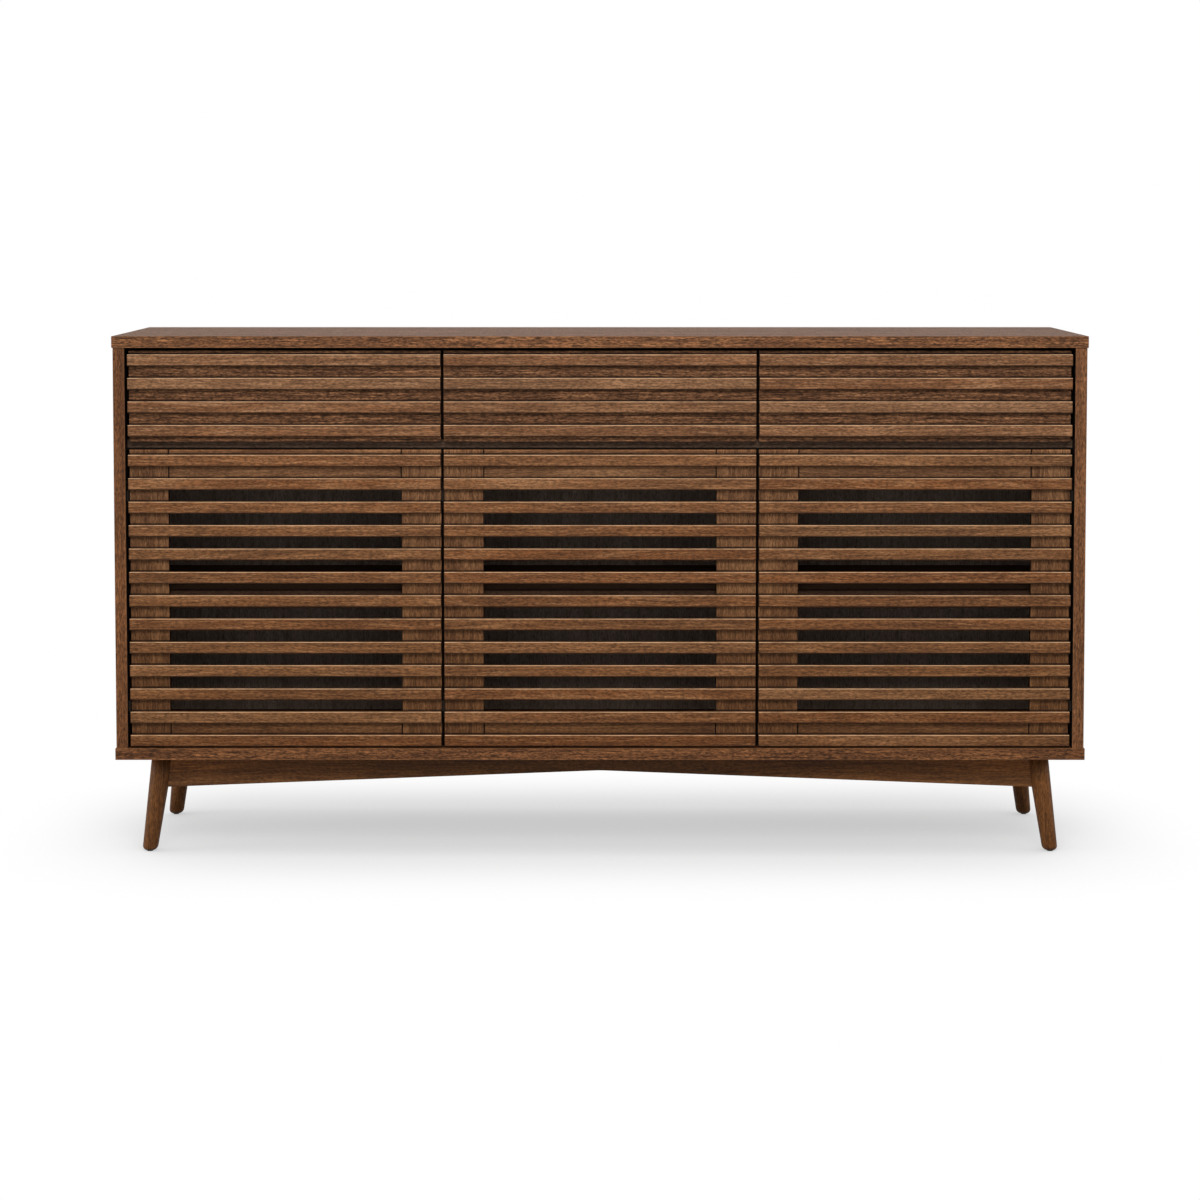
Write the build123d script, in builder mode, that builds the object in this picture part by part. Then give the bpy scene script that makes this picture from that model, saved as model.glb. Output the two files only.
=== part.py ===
# Walnut sideboard buffet with slatted drawer fronts and doors on splayed legs.
# Millimetres. X runs along the front, -Y faces the viewer, the floor is Z = 0.

import os

from build123d import *

# Carcass
overall_width = 1500.0
overall_depth = 400.0
panel_thickness = 18.0
panel_edge_radius = 0.8
end_overhang = 1.5
front_overhang = 3.0
back_thickness = 5.0
back_inset = 9.0
rebate_width = 8.0
back_play = 0.5
rail_depth = 80.0
rail_notch_depth = 40.0

# Slatted fronts
slat_height = 18.0
slat_gap = 18.25
slat_thickness = 9.0
slat_edge_radius = 0.8
slat_setback = 1.5
front_gap = 3.5
frame_thickness = 14.0
frame_inset = 1.5
inner_frame_inset = 0.3
frame_edge_radius = 0.7

# Doors
door_slat_count = 13
door_bottom_gap = 2.0
door_top_lip = 7.5
door_back_play = 0.5
stile_width = 59.5
door_rail_height = 50.0
tenon_length = 20.0
tenon_thickness = 6.0
tenon_shoulder = 6.0
joint_groove_width = 2.0
joint_groove_depth = 3.0

# Drawers
drawer_slat_count = 4
drawer_bottom_lip = 9.0
drawer_top_lip = 5.75
drawer_top_gap = 4.5
finger_gap = 11.5
drawer_side_thickness = 12.0
drawer_rail_play = 5.0
drawer_side_drop = 25.0
drawer_rear_gap = 16.0
drawer_back_inset = 8.0
drawer_bottom_thickness = 5.0
drawer_groove_rise = 8.0
groove_depth = 6.0
groove_play = 0.5

# Drawer runners, a channel on the carcass and a nested channel on the drawer
runner_space = 13.0
runner_height = 36.0
runner_length = 330.0
runner_reach = 9.5
runner_steel = 1.2
runner_play = 0.3
runner_inset = 4.0

# Door hinges
hinge_gaps = (1, 10)
hinge_offset = 0.9
hinge_setback = 2.0
barrel_play = 0.6
leaf_thickness = 1.0
leaf_height = 40.0
leaf_margin = 0.5
strap_play = 1.1
knuckle_height = 6.0
knuckle_play = 0.2
knuckle_relief = 0.3
hinge_pin_radius = 1.0
hinge_pin_play = 0.05
crank_reach = 24.0

# Magnetic catches
catch_size = (38.0, 12.0, 14.0)
catch_inset = 45.0
strike_size = (26.0, 0.8, 11.0)

# Shelves
shelf_thickness = 28.0
shelf_height = 214.0
shelf_setback = 3.0
shelf_end_play = 1.0
shelf_rear_play = 2.0
pin_radius = 2.5
pin_sink = 8.0
pin_reach = 8.0
pin_inset = 45.0

# Dowels
dowel_radius = 4.0
dowel_sink = 11.0
dowel_reach = 20.0
dowel_inset = 50.0
dowel_play = 0.05
dowel_end_play = 0.5
rail_dowel_inset = 20.0

# Base
leg_height = 152.0
leg_top_radius = 17.0
leg_foot_radius = 11.75
leg_foot_round = 7.0
foot_inset_x = 45.0
foot_inset_y = 50.0
leg_splay_x = 20.0
leg_splay_y = 14.6
leg_stub = 12.0
glide_radius = 4.5
glide_thickness = 1.2
apron_thickness = 17.0
apron_setback = 1.5
apron_end_height = 52.5
apron_middle_height = 26.0
apron_apex_radius = 200.0
end_rail_height = 44.0
cope_play = 0.15
base_tenon_thickness = 8.0
base_tenon_height = 22.0
base_tenon_drop = 10.0
base_tenon_stop = 7.0
block_height = 24.0
block_near = 30.0
block_far = 72.0
screw_edge = 17.0
screw_radius = 2.0
screw_head_radius = 4.0
screw_head_height = 2.5
screw_sink = 12.0
screw_play = 0.1

# Heights, from the floor up
slat_pitch = slat_height + slat_gap
bottom_z = leg_height
floor_z = bottom_z + panel_thickness
door_bottom_z = floor_z + door_bottom_gap
door_top_z = door_bottom_z + (door_slat_count - 1) * slat_pitch + slat_height + door_top_lip
drawer_bottom_z = door_top_z + finger_gap
drawer_slat_z = drawer_bottom_z + drawer_bottom_lip
drawer_top_z = drawer_slat_z + (drawer_slat_count - 1) * slat_pitch + slat_height + drawer_top_lip
ceiling_z = drawer_top_z + drawer_top_gap
top_z = ceiling_z + panel_thickness
rail_low_z = (door_top_z + drawer_bottom_z - panel_thickness) / 2
rail_high_z = rail_low_z + panel_thickness
shelf_low_z = floor_z + shelf_height
drawer_side_low_z = rail_high_z + drawer_rail_play
drawer_side_high_z = drawer_top_z - drawer_side_drop
drawer_groove_z = drawer_side_low_z + drawer_groove_rise
runner_low_z = (drawer_side_low_z + drawer_side_high_z - runner_height) / 2
runner_high_z = runner_low_z + runner_height

# Depths, from the front to the rear
front_y = -overall_depth / 2
rear_y = overall_depth / 2
carcass_front_y = front_y + front_overhang
slat_front_y = carcass_front_y + slat_setback
slat_back_y = slat_front_y + slat_thickness
frame_back_y = slat_back_y + frame_thickness
divider_front_y = frame_back_y + leaf_thickness + door_back_play
back_rear_y = rear_y - back_inset
back_front_y = back_rear_y - back_thickness
shelf_front_y = divider_front_y + shelf_setback
shelf_rear_y = back_front_y - shelf_rear_play
drawer_rear_y = back_front_y - drawer_rear_gap
runner_front_y = divider_front_y + runner_inset
hinge_y = slat_front_y + hinge_setback
rail_rear_y = divider_front_y + rail_depth
rail_notch_y = divider_front_y + rail_notch_depth

# Widths
end_x = overall_width / 2
side_outer_x = end_x - end_overhang
side_inner_x = side_outer_x - panel_thickness
front_width = (2 * side_inner_x - 4 * front_gap) / 3
column_pitch = front_width + front_gap
divider_x = column_pitch / 2
side_middle_x = (side_outer_x + side_inner_x) / 2
rebate_x = side_inner_x + rebate_width
barrel_radius = front_gap - hinge_offset - barrel_play

columns = {"left": -1, "centre": 0, "right": 1}
hinge_ends = {"left": -1, "centre": -1, "right": 1}
corners = {
    "front_left": (-1, -1),
    "front_right": (1, -1),
    "rear_left": (-1, 1),
    "rear_right": (1, 1),
}


def slab(x, y, z, mode=Mode.ADD):
    """Box between two limits on each axis."""
    lows = [min(pair) for pair in (x, y, z)]
    highs = [max(pair) for pair in (x, y, z)]
    with Locations(tuple((low + high) / 2 for low, high in zip(lows, highs))):
        Box(*(high - low for low, high in zip(lows, highs)), mode=mode)


def bores(starts, into, radius, depth):
    """Blind holes that start at points on a face and run into the board."""
    with Locations(*(Plane(origin=start, z_dir=-Vector(*into)) for start in starts)):
        Hole(radius, depth)


def rods(starts, along, radius, length):
    """Round rods that start at points and run one way."""
    with Locations(*(Plane(origin=start, z_dir=along) for start in starts)):
        Cylinder(radius, length, align=(Align.CENTER, Align.CENTER, Align.MIN))


def keep(piece, name):
    """Name a finished piece and write it to its file."""
    piece.part.label = name
    export_step(piece.part, f"parts/{name}.step")


def bay(column):
    """Inner faces of the uprights on both sides of a column."""
    low = -side_inner_x if column < 0 else (column - 0.5) * column_pitch + panel_thickness / 2
    high = side_inner_x if column > 0 else (column + 0.5) * column_pitch - panel_thickness / 2
    return low, high


os.makedirs("parts", exist_ok=True)

# Dowel rows are shared by the panels and the uprights
dowel_rows = (
    divider_front_y + dowel_inset,
    (divider_front_y + back_front_y) / 2,
    back_front_y - dowel_inset,
)
upright_rows = (-side_middle_x, -divider_x, divider_x, side_middle_x)
ceiling_dowels = [(x, y, ceiling_z) for x in upright_rows for y in dowel_rows]
floor_dowels = [(x, y, floor_z) for x in upright_rows for y in dowel_rows]
dowel_bore = dowel_radius + dowel_play
rail_dowel_rows = (divider_front_y + rail_dowel_inset, rail_rear_y - rail_dowel_inset)
rail_middle_z = (rail_low_z + rail_high_z) / 2
pin_rows = (shelf_front_y + pin_inset, shelf_rear_y - pin_inset)
pin_z = shelf_low_z - pin_radius

# Corner blocks sit against the inner faces of the aprons and the end rails
apron_middle_z = bottom_z - apron_end_height / 2
leg_x = end_x - foot_inset_x - leg_splay_x * apron_middle_z / leg_height
leg_y = rear_y - foot_inset_y - leg_splay_y * apron_middle_z / leg_height
corner_x = leg_x - apron_thickness / 2
apron_y = leg_y - apron_setback
corner_y = apron_y - apron_thickness / 2
screw_far = (block_near + block_far) / 2 - screw_edge
base_screw_spots = [
    (side * (corner_x - along), end * (corner_y - across))
    for side, end in corners.values()
    for along, across in ((screw_edge, screw_far), (screw_far, screw_edge))
]

with BuildPart() as top_panel:
    slab((-end_x, end_x), (front_y, rear_y), (ceiling_z, top_z))
    fillet(top_panel.edges(), panel_edge_radius)
    slab((-rebate_x, rebate_x), (back_front_y, rear_y), (ceiling_z, ceiling_z + rebate_width),
         mode=Mode.SUBTRACT)
    bores(ceiling_dowels, (0, 0, 1), dowel_bore, dowel_sink + dowel_end_play)
keep(top_panel, "top_panel")

with BuildPart() as bottom_panel:
    slab((-end_x, end_x), (front_y, rear_y), (bottom_z, floor_z))
    fillet(bottom_panel.edges(), panel_edge_radius)
    slab((-rebate_x, rebate_x), (back_front_y, rear_y), (floor_z - rebate_width, floor_z),
         mode=Mode.SUBTRACT)
    bores(floor_dowels, (0, 0, -1), dowel_bore, dowel_sink + dowel_end_play)
    bores([(x, y, bottom_z) for x, y in base_screw_spots], (0, 0, 1),
          screw_radius + screw_play, screw_sink + dowel_end_play)
keep(bottom_panel, "bottom_panel")

for name, side in (("left", -1), ("right", 1)):
    with BuildPart() as side_panel:
        slab((side * side_inner_x, side * side_outer_x), (carcass_front_y, rear_y), (floor_z, ceiling_z))
        fillet(side_panel.edges().filter_by(Axis.Z), panel_edge_radius)
        slab((side * side_inner_x, side * rebate_x), (back_front_y, rear_y), (floor_z, ceiling_z),
             mode=Mode.SUBTRACT)
        bores([(side * side_middle_x, y, ceiling_z) for y in dowel_rows], (0, 0, -1),
              dowel_bore, dowel_reach + dowel_end_play)
        bores([(side * side_middle_x, y, floor_z) for y in dowel_rows], (0, 0, 1),
              dowel_bore, dowel_reach + dowel_end_play)
        bores([(side * side_inner_x, y, rail_middle_z) for y in rail_dowel_rows], (side, 0, 0),
              dowel_bore, dowel_sink + dowel_end_play)
        bores([(side * side_inner_x, y, pin_z) for y in pin_rows], (side, 0, 0),
              pin_radius + dowel_play, pin_sink + dowel_end_play)
    keep(side_panel, f"{name}_side_panel")

    with BuildPart() as divider:
        faces_x = (side * divider_x - panel_thickness / 2, side * divider_x + panel_thickness / 2)
        slab(faces_x, (divider_front_y, back_front_y), (floor_z, ceiling_z))
        slab(faces_x, (divider_front_y, rail_notch_y), (rail_low_z, rail_high_z), mode=Mode.SUBTRACT)
        bores([(side * divider_x, y, ceiling_z) for y in dowel_rows], (0, 0, -1),
              dowel_bore, dowel_reach + dowel_end_play)
        bores([(side * divider_x, y, floor_z) for y in dowel_rows], (0, 0, 1),
              dowel_bore, dowel_reach + dowel_end_play)
        bores([(faces_x[0], y, pin_z) for y in pin_rows], (1, 0, 0),
              pin_radius + dowel_play, pin_sink + dowel_end_play)
        bores([(faces_x[1], y, pin_z) for y in pin_rows], (-1, 0, 0),
              pin_radius + dowel_play, pin_sink + dowel_end_play)
    keep(divider, f"{name}_divider")

# The rail is halved with both dividers and dowelled to the side panels
with BuildPart() as drawer_rail:
    slab((-side_inner_x, side_inner_x), (divider_front_y, rail_rear_y), (rail_low_z, rail_high_z))
    for side in (-1, 1):
        slab((side * divider_x - panel_thickness / 2, side * divider_x + panel_thickness / 2),
             (rail_notch_y, rail_rear_y), (rail_low_z, rail_high_z), mode=Mode.SUBTRACT)
        bores([(side * side_inner_x, y, rail_middle_z) for y in rail_dowel_rows], (-side, 0, 0),
              dowel_bore, dowel_reach + dowel_end_play)
keep(drawer_rail, "drawer_rail")

with BuildPart() as back_panel:
    slab((-rebate_x + back_play, rebate_x - back_play), (back_front_y, back_rear_y),
         (floor_z - rebate_width + back_play, ceiling_z + rebate_width - back_play))
keep(back_panel, "back_panel")

with BuildPart() as dowels:
    rods([(x, y, z - dowel_reach) for x, y, z in ceiling_dowels], (0, 0, 1),
         dowel_radius, dowel_reach + dowel_sink)
    rods([(x, y, z - dowel_sink) for x, y, z in floor_dowels], (0, 0, 1),
         dowel_radius, dowel_reach + dowel_sink)
    for side in (-1, 1):
        rods([(side * (side_inner_x - dowel_reach), y, rail_middle_z) for y in rail_dowel_rows],
             (side, 0, 0), dowel_radius, dowel_reach + dowel_sink)
keep(dowels, "dowels")

# Shelves
for name, column in columns.items():
    low_x, high_x = bay(column)
    with BuildPart() as shelf:
        slab((low_x + shelf_end_play, high_x - shelf_end_play), (shelf_front_y, shelf_rear_y),
             (shelf_low_z, shelf_low_z + shelf_thickness))
        fillet(shelf.edges().filter_by(Axis.X).group_by(Axis.Y)[0], panel_edge_radius)
    keep(shelf, f"{name}_shelf")

with BuildPart() as shelf_pins:
    for column in columns.values():
        low_x, high_x = bay(column)
        rods([(low_x - pin_sink, y, pin_z) for y in pin_rows], (1, 0, 0),
             pin_radius, pin_sink + pin_reach)
        rods([(high_x + pin_sink, y, pin_z) for y in pin_rows], (-1, 0, 0),
             pin_radius, pin_sink + pin_reach)
keep(shelf_pins, "shelf_pins")


def leg_cone(side, end, extra):
    """Tapered round bar along a splayed leg, run on past both ends."""
    foot = Vector(side * (end_x - foot_inset_x), end * (rear_y - foot_inset_y), 0)
    rise = Vector(-side * leg_splay_x, -end * leg_splay_y, leg_height)
    taper = leg_stub * (leg_top_radius - leg_foot_radius) / rise.length
    with Locations(Plane(origin=foot - rise.normalized() * leg_stub, z_dir=rise)):
        Cone(leg_foot_radius - taper + extra, leg_top_radius + taper + extra,
             rise.length + 2 * leg_stub, align=(Align.CENTER, Align.CENTER, Align.MIN))


def base_tenon(side, end, along_x, length, mode):
    """Tenon at one corner of the base, on an apron (along X) or on an end rail."""
    high_z = bottom_z - base_tenon_drop
    thin = base_tenon_thickness / 2
    run = (base_tenon_stop, length)
    if along_x:
        slab([side * (leg_x - step) for step in run], (end * apron_y - thin, end * apron_y + thin),
             (high_z - base_tenon_height, high_z), mode=mode)
    else:
        slab((side * leg_x - thin, side * leg_x + thin), [end * (leg_y - step) for step in run],
             (high_z - base_tenon_height, high_z), mode=mode)


# Base
with BuildPart() as leg_blanks:
    for side, end in corners.values():
        leg_cone(side, end, cope_play)

tenon_run = leg_top_radius + leg_splay_x
for name, (side, end) in corners.items():
    with BuildPart() as leg:
        leg_cone(side, end, 0)
        slab((-end_x, end_x), (front_y, rear_y), (glide_thickness, bottom_z), mode=Mode.INTERSECT)
        fillet(leg.edges().sort_by(Axis.Z)[0], leg_foot_round)
        base_tenon(side, end, True, tenon_run, Mode.SUBTRACT)
        base_tenon(side, end, False, tenon_run, Mode.SUBTRACT)
    keep(leg, f"{name}_leg")

for name, end in (("front", -1), ("rear", 1)):
    with BuildPart() as apron:
        with BuildSketch(Plane.XZ.offset(-end * apron_y)) as outline:
            with BuildLine():
                Polyline((-leg_x, bottom_z), (leg_x, bottom_z), (leg_x, bottom_z - apron_end_height),
                         (0, bottom_z - apron_middle_height), (-leg_x, bottom_z - apron_end_height),
                         close=True)
            make_face()
            apex = (0, bottom_z - apron_middle_height, 0)
            fillet(outline.vertices().sort_by_distance(apex)[0], apron_apex_radius)
        extrude(amount=apron_thickness / 2, both=True)
        add(leg_blanks.part, mode=Mode.SUBTRACT)
        for side in (-1, 1):
            base_tenon(side, end, True, tenon_run, Mode.ADD)
    keep(apron, f"{name}_apron")

with BuildPart() as end_rails:
    for side in (-1, 1):
        slab((side * leg_x - apron_thickness / 2, side * leg_x + apron_thickness / 2),
             (-corner_y, corner_y), (bottom_z - end_rail_height, bottom_z))
    add(leg_blanks.part, mode=Mode.SUBTRACT)
    for side, end in corners.values():
        base_tenon(side, end, False, tenon_run, Mode.ADD)
keep(end_rails, "end_rails")

with BuildPart() as corner_blocks:
    for side, end in corners.values():
        with BuildSketch(Plane.XY.offset(bottom_z)):
            with BuildLine():
                Polyline((side * (corner_x - block_near), end * corner_y),
                         (side * (corner_x - block_far), end * corner_y),
                         (side * corner_x, end * (corner_y - block_far)),
                         (side * corner_x, end * (corner_y - block_near)), close=True)
            make_face()
    extrude(amount=-block_height)
    bores([(x, y, bottom_z) for x, y in base_screw_spots], (0, 0, -1),
          screw_radius + screw_play, block_height)
keep(corner_blocks, "corner_blocks")

with BuildPart() as base_screws:
    rods([(x, y, bottom_z - block_height - screw_head_height) for x, y in base_screw_spots],
         (0, 0, 1), screw_head_radius, screw_head_height)
    rods([(x, y, bottom_z - block_height - screw_head_height) for x, y in base_screw_spots],
         (0, 0, 1), screw_radius, screw_head_height + block_height + screw_sink)
keep(base_screws, "base_screws")

with BuildPart() as foot_glides:
    lean = glide_thickness / leg_height
    rods([(side * (end_x - foot_inset_x - leg_splay_x * lean),
           end * (rear_y - foot_inset_y - leg_splay_y * lean), 0) for side, end in corners.values()],
         (0, 0, 1), glide_radius, glide_thickness)
keep(foot_glides, "foot_glides")


def channel(wall_x, facing, low_z, high_z):
    """Steel channel with its web on a wall and its flanges standing off the wall."""
    rear = runner_front_y + runner_length
    slab((wall_x, wall_x + facing * runner_reach), (runner_front_y, rear), (low_z, high_z))
    slab((wall_x + facing * runner_steel, wall_x + facing * runner_reach), (runner_front_y, rear),
         (low_z + runner_steel, high_z - runner_steel), mode=Mode.SUBTRACT)


# Runners on the carcass
with BuildPart() as cabinet_runners:
    for column in columns.values():
        low_x, high_x = bay(column)
        channel(low_x, 1, runner_low_z, runner_high_z)
        channel(high_x, -1, runner_low_z, runner_high_z)
keep(cabinet_runners, "cabinet_runners")


def frame_stop(column, side):
    """How far a drawer board or door frame stops short of its slats' end, least beside a neighbour."""
    return frame_inset if side == column else inner_frame_inset


# Drawers
nest = runner_steel + runner_play
drawer_floor_z = drawer_groove_z + drawer_bottom_thickness
back_board_y = drawer_rear_y - drawer_back_inset
for name, column in columns.items():
    middle_x = column * column_pitch
    half_front = front_width / 2
    low_x, high_x = bay(column)
    outer_x = (low_x + runner_space, high_x - runner_space)
    inner_x = (outer_x[0] + drawer_side_thickness, outer_x[1] - drawer_side_thickness)
    groove_x = (inner_x[0] - groove_depth, inner_x[1] + groove_depth)
    dado_y = frame_back_y - groove_depth

    with BuildPart() as front_board:
        slab((middle_x - half_front + frame_stop(column, -1), middle_x + half_front - frame_stop(column, 1)),
             (slat_back_y, frame_back_y), (drawer_bottom_z, drawer_top_z))
        fillet(front_board.edges().group_by(Axis.Y)[0], frame_edge_radius)
        for outer, inner in zip(outer_x, inner_x):
            slab((outer, inner), (dado_y, frame_back_y), (drawer_side_low_z, drawer_side_high_z),
                 mode=Mode.SUBTRACT)
        slab(inner_x, (dado_y, frame_back_y), (drawer_groove_z, drawer_floor_z), mode=Mode.SUBTRACT)
    keep(front_board, f"{name}_drawer_front")

    with BuildPart() as drawer_slats:
        for row in range(drawer_slat_count):
            low_z = drawer_slat_z + row * slat_pitch
            slab((middle_x - half_front, middle_x + half_front), (slat_front_y, slat_back_y),
                 (low_z, low_z + slat_height))
        fillet(drawer_slats.edges().group_by(Axis.Y)[0], slat_edge_radius)
    keep(drawer_slats, f"{name}_drawer_slats")

    with BuildPart() as drawer_sides:
        for outer, inner in zip(outer_x, inner_x):
            slab((outer, inner), (dado_y, drawer_rear_y), (drawer_side_low_z, drawer_side_high_z))
        slab(groove_x, (dado_y, drawer_rear_y), (drawer_groove_z, drawer_floor_z), mode=Mode.SUBTRACT)
        slab(groove_x, (back_board_y - drawer_side_thickness, back_board_y),
             (drawer_floor_z, drawer_side_high_z), mode=Mode.SUBTRACT)
    keep(drawer_sides, f"{name}_drawer_sides")

    with BuildPart() as drawer_back:
        slab((groove_x[0] + groove_play, groove_x[1] - groove_play),
             (back_board_y - drawer_side_thickness, back_board_y), (drawer_floor_z, drawer_side_high_z))
    keep(drawer_back, f"{name}_drawer_back")

    with BuildPart() as drawer_bottom:
        slab((groove_x[0] + groove_play, groove_x[1] - groove_play), (frame_back_y, back_board_y),
             (drawer_groove_z, drawer_floor_z))
        slab(inner_x, (dado_y + groove_play, frame_back_y), (drawer_groove_z, drawer_floor_z))
    keep(drawer_bottom, f"{name}_drawer_bottom")

    with BuildPart() as drawer_runners:
        channel(outer_x[0], -1, runner_low_z + nest, runner_high_z - nest)
        channel(outer_x[1], 1, runner_low_z + nest, runner_high_z - nest)
    keep(drawer_runners, f"{name}_drawer_runners")


def hinge_place(name):
    """Side the hinges are on, hinge axis X and the X of the frame edge they sit on."""
    end = hinge_ends[name]
    slat_end = columns[name] * column_pitch + end * front_width / 2
    return end, slat_end + end * hinge_offset, slat_end - end * frame_stop(columns[name], end)


def hinge_heights():
    """Middle of each gap between slats that holds a hinge."""
    return [door_bottom_z + gap * slat_pitch + slat_height + slat_gap / 2 for gap in hinge_gaps]


strap_half = slat_gap / 2 - strap_play
relief = barrel_radius + knuckle_relief
plate_front_y = slat_back_y + leaf_margin
plate_rear_y = frame_back_y - leaf_margin


def knuckles(axis_x, spans):
    """Barrel pieces of one leaf."""
    for low, high in spans:
        rods([(axis_x, hinge_y, low)], (0, 0, 1), barrel_radius, high - low)


def barrel_relief(axis_x, low, high):
    """Room in a leaf for the other leaf's knuckle."""
    slab((axis_x - front_gap - frame_inset, axis_x + front_gap + frame_inset),
         (hinge_y - relief, hinge_y + relief), (low, high), mode=Mode.SUBTRACT)


def outer_spans(middle_z):
    """Heights of the two knuckles on a door leaf."""
    return (
        (middle_z - strap_half, middle_z - knuckle_height / 2),
        (middle_z + knuckle_height / 2, middle_z + strap_half),
    )


# Hinge leaves on the side panels, and cranked ones on the left divider for the centre door
with BuildPart() as carcass_leaves:
    for name, column in columns.items():
        end, axis_x, edge_x = hinge_place(name)
        for middle_z in hinge_heights():
            tall = (middle_z - leaf_height / 2, middle_z + leaf_height / 2)
            strap = (middle_z - strap_half, middle_z + strap_half)
            if column == 0:
                wall_x = axis_x + end * (barrel_radius - leaf_thickness / 2)
                face_x = end * divider_x - end * panel_thickness / 2
                leaf_x = (wall_x, wall_x - end * leaf_thickness)
                slab(leaf_x, (plate_front_y, divider_front_y), tall)
                slab((wall_x, face_x - end * leaf_thickness),
                     (divider_front_y - leaf_thickness, divider_front_y), tall)
                slab((face_x, face_x - end * leaf_thickness),
                     (divider_front_y - leaf_thickness, divider_front_y + crank_reach), tall)
            else:
                wall_x = end * side_inner_x
                leaf_x = (wall_x, wall_x - end * leaf_thickness)
                slab(leaf_x, (plate_front_y, plate_rear_y), tall)
            slab(leaf_x, (hinge_y, plate_front_y), strap)
            for low, high in outer_spans(middle_z):
                barrel_relief(axis_x, low - knuckle_play, high + knuckle_play)
            inner = knuckle_height / 2 - knuckle_play
            knuckles(axis_x, [(middle_z - inner, middle_z + inner)])
            bores([(axis_x, hinge_y, middle_z)], (0, 0, 1), hinge_pin_radius + hinge_pin_play, strap_half)
keep(carcass_leaves, "hinge_carcass_leaves")

with BuildPart() as hinge_pins:
    for name in columns:
        end, axis_x, edge_x = hinge_place(name)
        rods([(axis_x, hinge_y, middle_z - strap_half) for middle_z in hinge_heights()], (0, 0, 1),
             hinge_pin_radius, 2 * strap_half)
keep(hinge_pins, "hinge_pins")


def catch_x(name):
    """Middle of the catch near the free end of a door."""
    return columns[name] * column_pitch - hinge_ends[name] * (front_width / 2 - catch_inset)


with BuildPart() as magnetic_catches:
    for name in columns:
        slab((catch_x(name) - catch_size[0] / 2, catch_x(name) + catch_size[0] / 2),
             (divider_front_y, divider_front_y + catch_size[1]), (rail_low_z - catch_size[2], rail_low_z))
keep(magnetic_catches, "magnetic_catches")

# Doors
strike_middle_z = rail_low_z - catch_size[2] / 2
for name, column in columns.items():
    middle_x = column * column_pitch
    half_front = front_width / 2
    end, axis_x, edge_x = hinge_place(name)
    half_rail = half_front - frame_inset - stile_width
    tenon_y = ((slat_back_y + frame_back_y - tenon_thickness) / 2,
               (slat_back_y + frame_back_y + tenon_thickness) / 2)
    rail_spans = (
        (door_bottom_z, door_bottom_z + door_rail_height),
        (door_top_z - door_rail_height, door_top_z),
    )

    with BuildPart() as stiles:
        for side in (-1, 1):
            half_frame = half_front - frame_stop(column, side)
            slab((middle_x + side * half_rail, middle_x + side * half_frame),
                 (slat_back_y, frame_back_y), (door_bottom_z, door_top_z))
        for low_z, high_z in rail_spans:
            slab((middle_x - half_rail - tenon_length, middle_x + half_rail + tenon_length),
                 tenon_y, (low_z + tenon_shoulder, high_z - tenon_shoulder), mode=Mode.SUBTRACT)
        fillet(stiles.edges().filter_by(Axis.Z).group_by(Axis.Y)[0], frame_edge_radius)
    keep(stiles, f"{name}_door_stiles")

    with BuildPart() as rails:
        for low_z, high_z in rail_spans:
            slab((middle_x - half_rail, middle_x + half_rail), (slat_back_y, frame_back_y), (low_z, high_z))
            slab((middle_x - half_rail - tenon_length + groove_play,
                  middle_x + half_rail + tenon_length - groove_play),
                 tenon_y, (low_z + tenon_shoulder, high_z - tenon_shoulder))
        for side in (-1, 1):
            slab((middle_x + side * half_rail, middle_x + side * (half_rail - joint_groove_width)),
                 (slat_back_y, slat_back_y + joint_groove_depth), (door_bottom_z, door_top_z),
                 mode=Mode.SUBTRACT)
    keep(rails, f"{name}_door_rails")

    with BuildPart() as door_slats:
        for row in range(door_slat_count):
            low_z = door_bottom_z + row * slat_pitch
            slab((middle_x - half_front, middle_x + half_front), (slat_front_y, slat_back_y),
                 (low_z, low_z + slat_height))
        fillet(door_slats.edges().group_by(Axis.Y)[0], slat_edge_radius)
    keep(door_slats, f"{name}_door_slats")

    with BuildPart() as door_leaves:
        for middle_z in hinge_heights():
            leaf_x = (edge_x, edge_x + end * leaf_thickness)
            slab(leaf_x, (plate_front_y, plate_rear_y),
                 (middle_z - leaf_height / 2, middle_z + leaf_height / 2))
            slab(leaf_x, (hinge_y, plate_front_y), (middle_z - strap_half, middle_z + strap_half))
            barrel_relief(axis_x, middle_z - knuckle_height / 2, middle_z + knuckle_height / 2)
            knuckles(axis_x, outer_spans(middle_z))
            bores([(axis_x, hinge_y, middle_z)], (0, 0, 1), hinge_pin_radius + hinge_pin_play, strap_half)
    keep(door_leaves, f"{name}_door_hinge_leaves")

    with BuildPart() as strike_plate:
        slab((catch_x(name) - strike_size[0] / 2, catch_x(name) + strike_size[0] / 2),
             (frame_back_y, frame_back_y + strike_size[1]),
             (strike_middle_z - strike_size[2] / 2, strike_middle_z + strike_size[2] / 2))
    keep(strike_plate, f"{name}_door_strike_plate")
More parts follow.
